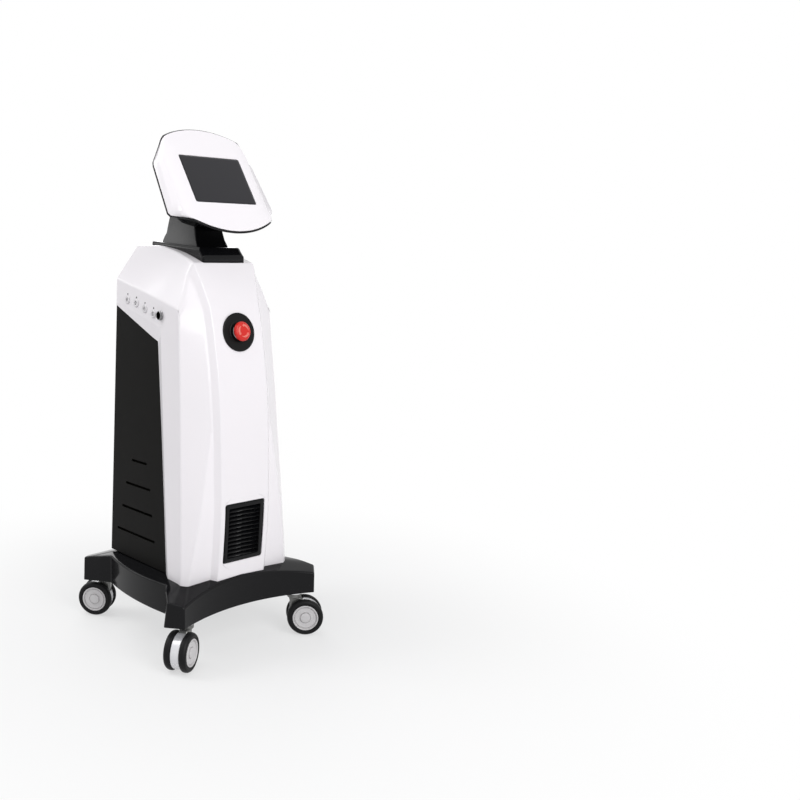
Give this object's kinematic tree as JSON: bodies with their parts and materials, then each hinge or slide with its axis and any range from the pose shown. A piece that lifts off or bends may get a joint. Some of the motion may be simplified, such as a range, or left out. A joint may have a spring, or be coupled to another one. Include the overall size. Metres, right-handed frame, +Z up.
{
  "type": "compression therapy pump",
  "caption": "Free-standing air compression therapy pump: tapered cabinet on swivelling casters with side air ports, emergency stop and a tilted display head.",
  "frame": {"origin": "on the floor, under the middle of the base", "axes": "+Z up, -Y towards the user at the screen and emergency stop, +X to the right as the user faces the screen"},
  "size_m": [0.3945, 0.4247, 1.0217],
  "materials": {
    "aluminium": "cast and extruded aluminium",
    "black_gloss": "piano black moulding",
    "black_satin": "satin black panel",
    "board_green": "circuit board",
    "bright_steel": "bright pin and stem steel",
    "chrome": "plated ring",
    "glass": "dark display window",
    "hood_grey": "light grey caster moulding",
    "hose": "grey silicone hose",
    "hub_grey": "light grey wheel hub",
    "lamp": "small dark lamp lens",
    "red": "red emergency stop head",
    "rubber": "rubber mounts and hoses",
    "steel": "grey powder coat",
    "tyre": "dark grey polyurethane tread",
    "white_shell": "gloss moulded shell, white with a faint pink tint"
  },
  "bodies": {
    "cabinet": {"air_hoses": "hose", "air_port_bodies": "chrome", "air_port_lamps": "lamp", "base_cover": "black_gloss", "base_frame": "steel", "caster_stems": "bright_steel", "chassis_frame": "steel", "compressor_body": "aluminium", "compressor_mounts": "rubber", "control_board": "board_green", "display_glass": "glass", "display_module": "black_satin", "estop_collar": "chrome", "estop_contact_block": "black_satin", "estop_plate": "black_satin", "fan_frame": "black_satin", "front_cover": "white_shell", "head_back_shell": "black_gloss", "head_front_shell": "white_shell", "left_side_panel": "black_satin", "mains_module": "black_satin", "neck_collar": "black_gloss", "neck_cover": "black_gloss", "neck_post": "steel", "power_supply": "steel", "rear_cover": "black_satin", "rear_screws": "bright_steel", "remote_socket": "chrome", "right_side_panel": "black_satin", "solenoid_valves": "aluminium", "valve_manifold": "aluminium", "vent_grille": "black_satin"},
    "caster_front_left_swivel": {"caster_front_left_housing": "hood_grey", "caster_front_left_axle": "bright_steel"},
    "caster_front_left_wheel_a": {"caster_front_left_hub_a": "hub_grey", "caster_front_left_tyre_a": "tyre"},
    "caster_front_left_wheel_b": {"caster_front_left_hub_b": "hub_grey", "caster_front_left_tyre_b": "tyre"},
    "caster_front_right_swivel": {"caster_front_right_housing": "hood_grey", "caster_front_right_axle": "bright_steel"},
    "caster_front_right_wheel_a": {"caster_front_right_hub_a": "hub_grey", "caster_front_right_tyre_a": "tyre"},
    "caster_front_right_wheel_b": {"caster_front_right_hub_b": "hub_grey", "caster_front_right_tyre_b": "tyre"},
    "caster_rear_left_swivel": {"caster_rear_left_housing": "hood_grey", "caster_rear_left_axle": "bright_steel"},
    "caster_rear_left_wheel_a": {"caster_rear_left_hub_a": "hub_grey", "caster_rear_left_tyre_a": "tyre"},
    "caster_rear_left_wheel_b": {"caster_rear_left_hub_b": "hub_grey", "caster_rear_left_tyre_b": "tyre"},
    "caster_rear_right_swivel": {"caster_rear_right_housing": "hood_grey", "caster_rear_right_axle": "bright_steel"},
    "caster_rear_right_wheel_a": {"caster_rear_right_hub_a": "hub_grey", "caster_rear_right_tyre_a": "tyre"},
    "caster_rear_right_wheel_b": {"caster_rear_right_hub_b": "hub_grey", "caster_rear_right_tyre_b": "tyre"},
    "estop_plunger": {"estop_stem": "bright_steel"},
    "estop_head": {"estop_mushroom": "red"},
    "power_rocker": {"power_rocker": "black_satin"},
    "fan_rotor": {"fan_rotor": "black_satin"}
  },
  "joints": [
    {"name": "caster_front_left_swivel", "type": "hinge", "parent": "cabinet", "child": "caster_front_left_swivel", "pos_m": [-0.137, -0.155, 0.0845], "axis": [0, 0, 1], "continuous": true},
    {"name": "caster_front_left_wheel_a_spin", "type": "hinge", "parent": "caster_front_left_swivel", "child": "caster_front_left_wheel_a", "pos_m": [-0.16424, -0.1525, 0.0375], "axis": [0.518, -0.8554, 0], "continuous": true},
    {"name": "caster_front_left_wheel_b_spin", "type": "hinge", "parent": "caster_front_left_swivel", "child": "caster_front_left_wheel_b", "pos_m": [-0.1474, -0.1803, 0.0375], "axis": [0.518, -0.8554, 0], "continuous": true},
    {"name": "caster_front_right_swivel", "type": "hinge", "parent": "cabinet", "child": "caster_front_right_swivel", "pos_m": [0.137, -0.155, 0.0845], "axis": [0, 0, 1], "continuous": true},
    {"name": "caster_front_right_wheel_a_spin", "type": "hinge", "parent": "caster_front_right_swivel", "child": "caster_front_right_wheel_a", "pos_m": [0.14456, -0.18129, 0.0375], "axis": [0.6088, 0.7934, 0], "continuous": true},
    {"name": "caster_front_right_wheel_b_spin", "type": "hinge", "parent": "caster_front_right_swivel", "child": "caster_front_right_wheel_b", "pos_m": [0.16435, -0.1555, 0.0375], "axis": [0.6088, 0.7934, 0], "continuous": true},
    {"name": "caster_rear_left_swivel", "type": "hinge", "parent": "cabinet", "child": "caster_rear_left_swivel", "pos_m": [-0.132, 0.159, 0.0845], "axis": [0, 0, 1], "continuous": true},
    {"name": "caster_rear_left_wheel_a_spin", "type": "hinge", "parent": "caster_rear_left_swivel", "child": "caster_rear_left_wheel_a", "pos_m": [-0.13431, 0.18625, 0.0375], "axis": [-0.7513, -0.66, 0], "continuous": true},
    {"name": "caster_rear_left_wheel_b_spin", "type": "hinge", "parent": "caster_rear_left_swivel", "child": "caster_rear_left_wheel_b", "pos_m": [-0.15873, 0.1648, 0.0375], "axis": [-0.7513, -0.66, 0], "continuous": true},
    {"name": "caster_rear_right_swivel", "type": "hinge", "parent": "cabinet", "child": "caster_rear_right_swivel", "pos_m": [0.132, 0.159, 0.0845], "axis": [0, 0, 1], "continuous": true},
    {"name": "caster_rear_right_wheel_a_spin", "type": "hinge", "parent": "caster_rear_right_swivel", "child": "caster_rear_right_wheel_a", "pos_m": [0.15873, 0.1648, 0.0375], "axis": [-0.7513, 0.66, 0], "continuous": true},
    {"name": "caster_rear_right_wheel_b_spin", "type": "hinge", "parent": "caster_rear_right_swivel", "child": "caster_rear_right_wheel_b", "pos_m": [0.13431, 0.18625, 0.0375], "axis": [-0.7513, 0.66, 0], "continuous": true},
    {"name": "estop_press", "type": "slide", "parent": "cabinet", "child": "estop_plunger", "axis": [0, 0.9799, -0.1994], "range_m": [0, 0.0045]},
    {"name": "estop_twist", "type": "hinge", "parent": "estop_plunger", "child": "estop_head", "pos_m": [0, -0.13493, 0.631], "axis": [0, 0.9799, -0.1994], "range_deg": [0, 45]},
    {"name": "power_rocker_tilt", "type": "hinge", "parent": "cabinet", "child": "power_rocker", "pos_m": [0.012, 0.13655, 0.205], "axis": [-1, 0, 0], "range_deg": [0, 20]},
    {"name": "fan_rotor_spin", "type": "hinge", "parent": "cabinet", "child": "fan_rotor", "pos_m": [0, 0.125, 0.52], "axis": [0, 1, 0], "continuous": true}
  ]
}
